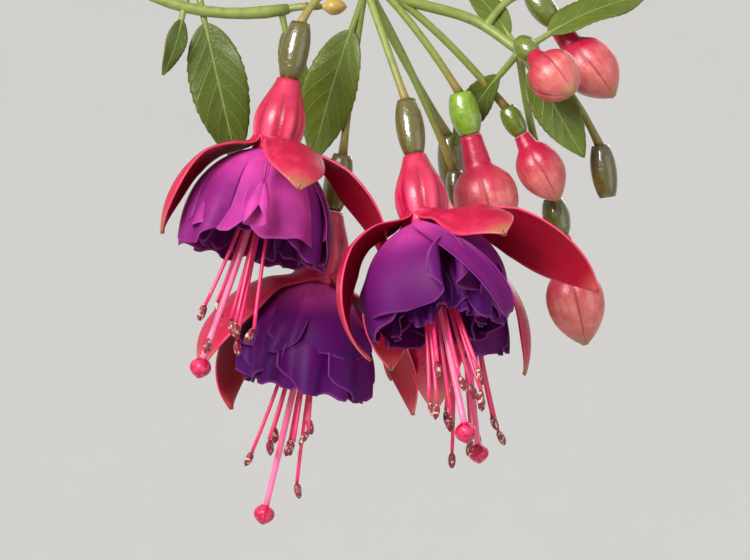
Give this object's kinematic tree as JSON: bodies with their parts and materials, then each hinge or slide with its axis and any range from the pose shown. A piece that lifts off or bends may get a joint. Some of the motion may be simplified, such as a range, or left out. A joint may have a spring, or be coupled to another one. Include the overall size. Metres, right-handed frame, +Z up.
{
  "type": "fuchsia hanging basket",
  "caption": "Double-flowered fuchsia in a round plastic pot hung by wires from a hook; leafy stems arch over the rim and trail, with red and purple blooms and pink buds.",
  "frame": {"origin": "the point inside the hook, at the top of its bend, where it bears on what it hangs from", "axes": "+Z up; -Y is the front, where the longest spray trails below the pot; +X is to the right seen from the front"},
  "size_m": [0.3823, 0.3805, 0.4863],
  "materials": {
    "steel": "satin galvanised wire",
    "pot": "matt moulded plastic",
    "soil": "moist crumbly compost",
    "leaves_and_stems": "satin living leaf",
    "calyx": "satin waxy petal",
    "corolla": "velvety petal",
    "bud": "satin waxy petal"
  },
  "bodies": {
    "root": {"hook": "steel", "wire_1": "steel", "wire_2": "steel", "wire_3": "steel", "pot": "pot", "soil": "soil", "leafy_stem_1": "leaves_and_stems", "leafy_stem_2": "leaves_and_stems", "leafy_stem_3": "leaves_and_stems", "leafy_stem_4": "leaves_and_stems", "leafy_stem_5": "leaves_and_stems", "leafy_stem_6": "leaves_and_stems", "leafy_stem_7": "leaves_and_stems", "leafy_stem_8": "leaves_and_stems", "leafy_stem_9": "leaves_and_stems", "leafy_stem_10": "leaves_and_stems", "leafy_stem_11": "leaves_and_stems", "leafy_stem_12": "leaves_and_stems", "leafy_stem_13": "leaves_and_stems", "leafy_stem_14": "leaves_and_stems", "leafy_stem_15": "leaves_and_stems", "calyx_1": "calyx", "calyx_2": "calyx", "calyx_3": "calyx", "calyx_4": "calyx", "calyx_5": "calyx", "calyx_6": "calyx", "calyx_7": "calyx", "calyx_8": "calyx", "calyx_9": "calyx", "calyx_10": "calyx", "calyx_11": "calyx", "corolla_1": "corolla", "corolla_2": "corolla", "corolla_3": "corolla", "corolla_4": "corolla", "corolla_5": "corolla", "corolla_6": "corolla", "corolla_7": "corolla", "corolla_8": "corolla", "corolla_9": "corolla", "corolla_10": "corolla", "corolla_11": "corolla", "bud_1": "bud", "bud_2": "bud", "bud_3": "bud", "bud_4": "bud", "bud_5": "bud", "bud_6": "bud", "bud_7": "bud", "bud_8": "bud", "bud_9": "bud", "bud_10": "bud", "bud_11": "bud", "bud_12": "bud"}
  },
  "joints": []
}
